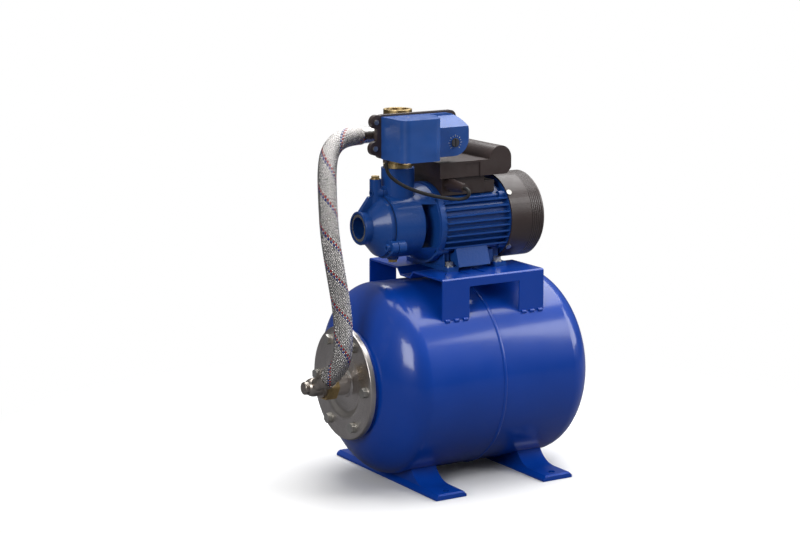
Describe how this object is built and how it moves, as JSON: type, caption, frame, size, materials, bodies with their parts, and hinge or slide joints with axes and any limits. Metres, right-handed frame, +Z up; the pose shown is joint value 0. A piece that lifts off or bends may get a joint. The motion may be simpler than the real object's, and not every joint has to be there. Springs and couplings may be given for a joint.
{
  "type": "water pump set",
  "caption": "Close-coupled centrifugal water pump on a horizontal pressure tank, with a pressure switch and a steel-braided hose back to the tank.",
  "frame": {"origin": "floor level, under the middle of the whole set's bounding box", "axes": "+Z up, -X out of the pump's suction port along the shaft, Y across the feet"},
  "size_m": [0.437, 0.2726, 0.522],
  "materials": {
    "deep_blue": "gloss",
    "motor_blue": "satin",
    "switch_blue": "satin",
    "dark_plastic": "matte",
    "white_plastic": "matte",
    "zinc_steel": "satin",
    "stainless": "brushed",
    "bearing_steel": "polished",
    "core_steel": "laminated",
    "copper": "enamelled",
    "brass": "satin",
    "nickel": "satin",
    "ceramic": "lapped",
    "rubber_black": "matte",
    "steel_braid": "braided"
  },
  "bodies": {
    "base": {"tank_front_shell": "deep_blue", "tank_rear_shell": "deep_blue", "tank_weld_seam": "deep_blue", "tank_front_foot": "deep_blue", "tank_rear_foot": "deep_blue", "tank_flange_ring": "deep_blue", "tank_membrane": "rubber_black", "flange_plate": "zinc_steel", "flange_bolts": "zinc_steel", "air_valve": "brass", "air_valve_cap": "dark_plastic", "pump_platform": "deep_blue", "platform_welds": "deep_blue", "suction_cover": "motor_blue", "pump_casing": "motor_blue", "casing_gasket": "rubber_black", "casing_bolts": "motor_blue", "priming_plug": "brass", "drain_plug": "brass", "seal_seat": "ceramic", "motor_bracket": "motor_blue", "bearing_outer_races": "bearing_steel", "stator_core": "core_steel", "stator_windings": "copper", "motor_frame": "motor_blue", "rear_end_shield": "motor_blue", "fan_cover": "dark_plastic", "fan_cover_screws": "zinc_steel", "tie_bolts": "motor_blue", "motor_foot": "motor_blue", "foot_bolts": "zinc_steel", "terminal_box_base": "dark_plastic", "terminal_box_cover": "dark_plastic", "run_capacitor": "white_plastic", "terminal_block": "white_plastic", "cable_glands": "dark_plastic", "outlet_fitting": "brass", "switch_base": "dark_plastic", "switch_cover": "switch_blue", "switch_screws": "zinc_steel", "switch_diaphragm": "rubber_black", "switch_contacts": "dark_plastic", "upper_hose_nut": "brass", "upper_ferrule": "stainless", "elbow_union_nut": "brass", "hose_elbow": "nickel", "braided_hose": "steel_braid", "control_lead": "rubber_black"},
    "rotor": {"shaft": "stainless", "rotor_core": "core_steel", "impeller": "brass", "impeller_nut": "stainless", "seal_head": "rubber_black", "shaft_slinger": "rubber_black", "bearing_inner_races": "bearing_steel", "cooling_fan": "dark_plastic"},
    "ball_cages": {"bearing_balls": "bearing_steel"},
    "setpoint_dial": {"setpoint_screw": "dark_plastic"},
    "switch_pin": {"switch_plunger": "brass"},
    "valve_pin": {"air_valve_pin": "brass"}
  },
  "joints": [
    {"name": "shaft_spin", "type": "hinge", "parent": "base", "child": "rotor", "pos_m": [0, 0, 0.361], "axis": [1, 0, 0], "continuous": true},
    {"name": "ball_orbit", "type": "hinge", "parent": "base", "child": "ball_cages", "pos_m": [0, 0, 0.361], "axis": [1, 0, 0], "continuous": true},
    {"name": "setpoint_turn", "type": "hinge", "parent": "base", "child": "setpoint_dial", "pos_m": [-0.011, -0.06, 0.478], "axis": [0, -1, 0], "range_deg": [0, 270]},
    {"name": "plunger_slide", "type": "slide", "parent": "base", "child": "switch_pin", "axis": [0, -1, 0], "range_m": [0, 0.002], "stiffness_N_per_m": 800},
    {"name": "valve_pin_slide", "type": "slide", "parent": "base", "child": "valve_pin", "axis": [-1, 0, 0], "range_m": [0, 0.001], "stiffness_N_per_m": 400}
  ],
  "couplings": [
    {"joint": "ball_orbit", "follows": "shaft_spin", "ratio": 0.391}
  ]
}
